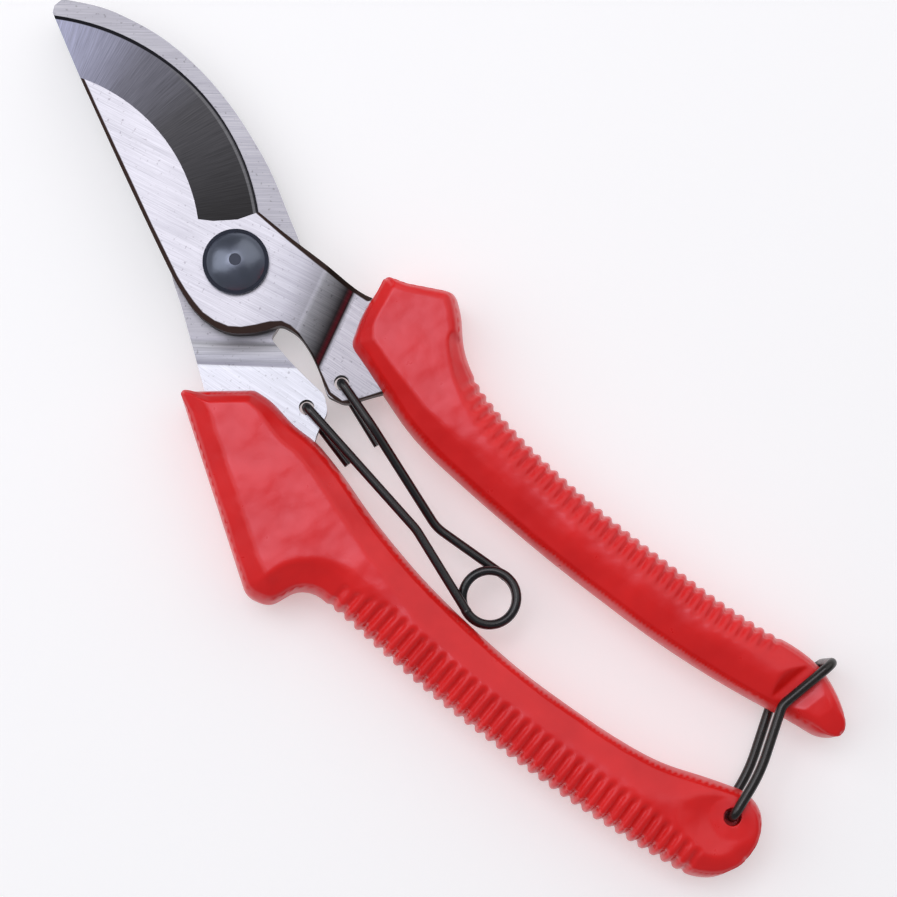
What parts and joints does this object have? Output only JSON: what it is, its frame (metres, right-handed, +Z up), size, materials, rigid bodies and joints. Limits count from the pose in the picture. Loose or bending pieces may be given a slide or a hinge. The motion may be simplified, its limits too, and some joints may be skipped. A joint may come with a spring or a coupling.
{
  "type": "bypass pruner",
  "caption": "Hand-held bypass pruner with a curved cutting blade, a hooked counter blade, ribbed grips, a wire return spring and a wire end latch.",
  "frame": {"origin": "centre of the whole closed tool's footprint, on the plane the two grips rest on", "axes": "+Y towards the jaw tips, +Z up along the pivot axis with the bolt head on top, +X towards the grip that carries the cutting blade"},
  "size_m": [0.0718, 0.1998, 0.015],
  "materials": {
    "ground_steel": "satin, with a dark ground bevel",
    "red_grip": "semi-gloss moulded red",
    "blued_steel": "dark blued, glossy",
    "dark_wire": "black, semi-gloss"
  },
  "bodies": {
    "hook_side": {"hook_blade": "ground_steel", "lower_grip": "red_grip", "pivot_bolt": "blued_steel", "pivot_washer": "blued_steel", "pivot_nut": "blued_steel"},
    "blade_side": {"cutting_blade": "ground_steel", "upper_grip": "red_grip"},
    "spring_hook": {"spring_hook_arm": "dark_wire"},
    "spring_blade": {"spring_blade_arm": "dark_wire"},
    "latch": {"wire_latch": "dark_wire"}
  },
  "joints": [
    {"name": "pivot_open", "type": "hinge", "parent": "hook_side", "child": "blade_side", "pos_m": [0.0026, 0.04102, 0.0075], "axis": [0, 0, 1], "range_deg": [0, 38]},
    {"name": "spring_swing", "type": "hinge", "parent": "hook_side", "child": "spring_hook", "pos_m": [-0.0051, 0.01282, 0.0075], "axis": [0, 0, 1], "range_deg": [0, 26.5], "deforming": ["spring_hook_arm"]},
    {"name": "spring_flex", "type": "hinge", "parent": "spring_hook", "child": "spring_blade", "pos_m": [-0.003, -0.03488, 0.0075], "axis": [0, 0, 1], "range_deg": [-23.2, 0], "deforming": ["spring_blade_arm"]},
    {"name": "latch_swing", "type": "hinge", "parent": "hook_side", "child": "latch", "pos_m": [0.0032, -0.09248, 0.0075], "axis": [0, 0, 1], "range_deg": [-120, 0], "deforming": ["wire_latch"]}
  ],
  "couplings": [
    {"joint": "spring_swing", "follows": "pivot_open", "ratio": 0.683},
    {"joint": "spring_flex", "follows": "pivot_open", "ratio": -0.599}
  ]
}
